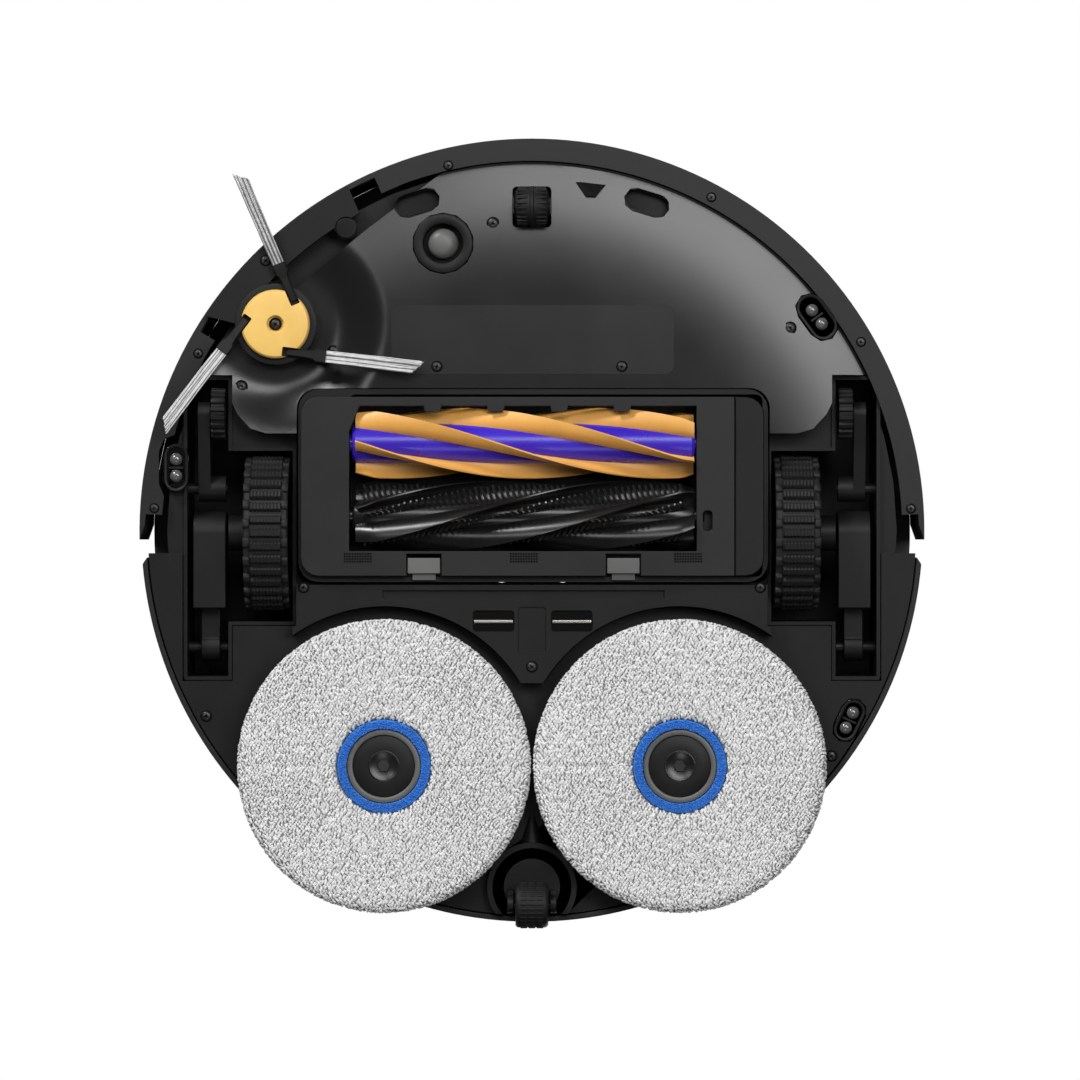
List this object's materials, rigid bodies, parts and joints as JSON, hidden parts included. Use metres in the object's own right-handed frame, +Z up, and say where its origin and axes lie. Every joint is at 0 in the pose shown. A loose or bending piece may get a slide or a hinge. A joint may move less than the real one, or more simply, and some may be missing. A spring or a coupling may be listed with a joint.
{
  "type": "robot vacuum",
  "caption": "Round robot vacuum and mop with sprung bumper, twin helical rollers, swing-out side brush, climbing legs and two rotating lifting mop pads.",
  "frame": {"origin": "centre of the footprint, on the floor", "axes": "+Z up, +Y towards the front bumper, +X towards the machine's right side, where the side brush is"},
  "size_m": [0.35, 0.3528, 0.103],
  "materials": {
    "black_plastic": "fine-grained black moulding",
    "satin_cover": "satin charcoal moulding",
    "shell": "fine matte dark grey moulding",
    "top_shell": "satin dark grey moulding",
    "window": "infrared-clear gloss black",
    "rubber": "matt rubber",
    "tread": "matt tread rubber",
    "grey_plastic": "mid-grey moulding",
    "steel": "turned steel",
    "orange_fins": "soft orange moulding",
    "violet_core": "violet moulding",
    "yellow_hub": "warm yellow moulding",
    "blue_ring": "blue hook-and-loop pile",
    "terry": "pale grey terry pile",
    "bristle": "nylon bristles",
    "board_green": "coated circuit board",
    "clear_bin": "smoked clear plastic",
    "filter_paper": "pleated filter paper"
  },
  "bodies": {
    "chassis": {"chassis": "black_plastic", "front_cover": "satin_cover", "mid_plate": "black_plastic", "mop_deck": "black_plastic", "rear_shell": "shell", "top_cover": "top_shell", "scanner_cover": "window", "battery": "black_plastic", "side_brush_motor": "steel", "suction_fan": "black_plastic", "main_board": "board_green", "water_tank": "clear_bin", "dust_bin": "clear_bin", "bin_filter": "filter_paper", "roller_well": "black_plastic", "roller_gearbox": "black_plastic", "roller_guard": "shell", "guard_end_cap": "black_plastic", "front_caster_axle": "steel", "carpet_sensor_ring": "black_plastic", "carpet_sensor_dome": "grey_plastic", "cliff_sensor_front_left": "window", "cliff_sensor_right": "window", "cliff_sensor_rear_left": "window", "brush_arm_pin": "steel"},
    "bumper": {"bumper": "shell", "bumper_window": "window"},
    "lid": {"lid": "shell"},
    "scanner_rotor": {"scanner_rotor": "black_plastic"},
    "power_button": {"power_button": "grey_plastic"},
    "dock_button": {"dock_button": "grey_plastic"},
    "brush_arm": {"side_brush_arm": "black_plastic"},
    "side_brush": {"side_brush_hub": "yellow_hub", "side_brush_tufts": "bristle"},
    "front_roller": {"front_roller_core": "violet_core", "front_roller_fins": "orange_fins"},
    "rear_roller": {"rear_roller": "rubber"},
    "guard_latch_right": {"guard_latch_right": "grey_plastic"},
    "guard_latch_left": {"guard_latch_left": "grey_plastic"},
    "front_caster": {"front_caster_wheel": "rubber"},
    "rear_fork": {"rear_caster_fork": "black_plastic"},
    "rear_wheel": {"rear_caster_wheel": "rubber"},
    "right_wheel_arm": {"right_drive_gearbox": "black_plastic"},
    "right_wheel": {"right_tyre": "tread", "right_wheel_hub": "black_plastic"},
    "right_leg": {"right_climbing_leg": "black_plastic"},
    "right_leg_roller": {"right_climbing_roller": "rubber"},
    "right_mop_carriage": {"right_mop_lift": "black_plastic"},
    "right_mop": {"right_mop_pad": "terry", "right_mop_ring": "blue_ring", "right_mop_holder": "grey_plastic"},
    "left_wheel_arm": {"left_drive_gearbox": "black_plastic"},
    "left_wheel": {"left_tyre": "tread", "left_wheel_hub": "black_plastic"},
    "left_leg": {"left_climbing_leg": "black_plastic"},
    "left_leg_roller": {"left_climbing_roller": "rubber"},
    "left_mop_carriage": {"left_mop_lift": "black_plastic"},
    "left_mop": {"left_mop_pad": "terry", "left_mop_ring": "blue_ring", "left_mop_holder": "grey_plastic"}
  },
  "joints": [
    {"name": "bumper_push", "type": "slide", "parent": "chassis", "child": "bumper", "axis": [0, -1, 0], "range_m": [0, 0.003], "stiffness_N_per_m": 400},
    {"name": "lid_hinge", "type": "hinge", "parent": "chassis", "child": "lid", "pos_m": [0, -0.005, 0.086], "axis": [1, 0, 0], "range_deg": [0, 75]},
    {"name": "power_button_press", "type": "slide", "parent": "chassis", "child": "power_button", "axis": [0, 0, -1], "range_m": [0, 0.001], "stiffness_N_per_m": 400},
    {"name": "dock_button_press", "type": "slide", "parent": "chassis", "child": "dock_button", "axis": [0, 0, -1], "range_m": [0, 0.001], "stiffness_N_per_m": 400},
    {"name": "scanner_spin", "type": "hinge", "parent": "chassis", "child": "scanner_rotor", "pos_m": [0, -0.072, 0.09], "axis": [0, 0, 1], "continuous": true},
    {"name": "brush_arm_swing", "type": "hinge", "parent": "chassis", "child": "brush_arm", "pos_m": [0.08256, 0.13472, 0.018], "axis": [0, 0, 1], "range_deg": [0, 28]},
    {"name": "side_brush_spin", "type": "hinge", "parent": "brush_arm", "child": "side_brush", "pos_m": [0.11386, 0.09187, 0.012], "axis": [0, 0, 1], "continuous": true},
    {"name": "front_roller_spin", "type": "hinge", "parent": "chassis", "child": "front_roller", "pos_m": [0, 0.039, 0.0172], "axis": [1, 0, 0], "continuous": true},
    {"name": "rear_roller_spin", "type": "hinge", "parent": "chassis", "child": "rear_roller", "pos_m": [0, 0.0068, 0.0172], "axis": [1, 0, 0], "continuous": true},
    {"name": "guard_latch_right_slide", "type": "slide", "parent": "chassis", "child": "guard_latch_right", "axis": [0, 1, 0], "range_m": [0, 0.0015], "stiffness_N_per_m": 400},
    {"name": "guard_latch_left_slide", "type": "slide", "parent": "chassis", "child": "guard_latch_left", "axis": [0, 1, 0], "range_m": [0, 0.0015], "stiffness_N_per_m": 400},
    {"name": "front_caster_spin", "type": "hinge", "parent": "chassis", "child": "front_caster", "pos_m": [0, 0.1441, 0.0089], "axis": [1, 0, 0], "continuous": true},
    {"name": "rear_caster_swivel", "type": "hinge", "parent": "chassis", "child": "rear_fork", "pos_m": [0, -0.1587, 0.0103], "axis": [0, 0, 1], "continuous": true},
    {"name": "rear_caster_spin", "type": "hinge", "parent": "rear_fork", "child": "rear_wheel", "pos_m": [0, -0.1661, 0.0103], "axis": [1, 0, 0], "continuous": true},
    {"name": "right_wheel_swing", "type": "hinge", "parent": "chassis", "child": "right_wheel_arm", "pos_m": [0.144, -0.052, 0.04], "axis": [-1, 0, 0], "range_deg": [0, 13], "stiffness_Nm_per_rad": 0.4, "springref_deg": 28.65},
    {"name": "right_wheel_spin", "type": "hinge", "parent": "right_wheel_arm", "child": "right_wheel", "pos_m": [0.1181, -0.0009, 0.035], "axis": [1, 0, 0], "continuous": true},
    {"name": "right_leg_swing", "type": "hinge", "parent": "chassis", "child": "right_leg", "pos_m": [0.146, 0.019, 0.034], "axis": [-1, 0, 0], "range_deg": [0, 60]},
    {"name": "right_leg_roller_spin", "type": "hinge", "parent": "right_leg", "child": "right_leg_roller", "pos_m": [0.1399, 0.0524, 0.027], "axis": [1, 0, 0], "continuous": true},
    {"name": "right_mop_lift_slide", "type": "slide", "parent": "chassis", "child": "right_mop_carriage", "axis": [0, 0, 1], "range_m": [0, 0.0095]},
    {"name": "right_mop_spin", "type": "hinge", "parent": "right_mop_carriage", "child": "right_mop", "pos_m": [0.0655, -0.1041, 0.01], "axis": [0, 0, 1], "continuous": true},
    {"name": "left_wheel_swing", "type": "hinge", "parent": "chassis", "child": "left_wheel_arm", "pos_m": [-0.144, -0.052, 0.04], "axis": [-1, 0, 0], "range_deg": [0, 13], "stiffness_Nm_per_rad": 0.4, "springref_deg": 28.65},
    {"name": "left_wheel_spin", "type": "hinge", "parent": "left_wheel_arm", "child": "left_wheel", "pos_m": [-0.1181, -0.0009, 0.035], "axis": [1, 0, 0], "continuous": true},
    {"name": "left_leg_swing", "type": "hinge", "parent": "chassis", "child": "left_leg", "pos_m": [-0.146, 0.019, 0.034], "axis": [-1, 0, 0], "range_deg": [0, 60]},
    {"name": "left_leg_roller_spin", "type": "hinge", "parent": "left_leg", "child": "left_leg_roller", "pos_m": [-0.1399, 0.0524, 0.027], "axis": [1, 0, 0], "continuous": true},
    {"name": "left_mop_lift_slide", "type": "slide", "parent": "chassis", "child": "left_mop_carriage", "axis": [0, 0, 1], "range_m": [0, 0.0095]},
    {"name": "left_mop_spin", "type": "hinge", "parent": "left_mop_carriage", "child": "left_mop", "pos_m": [-0.0655, -0.1041, 0.01], "axis": [0, 0, 1], "continuous": true}
  ],
  "couplings": [
    {"joint": "rear_roller_spin", "follows": "front_roller_spin", "ratio": -1},
    {"joint": "left_mop_lift_slide", "follows": "right_mop_lift_slide", "ratio": 1},
    {"joint": "left_mop_spin", "follows": "right_mop_spin", "ratio": -1}
  ]
}
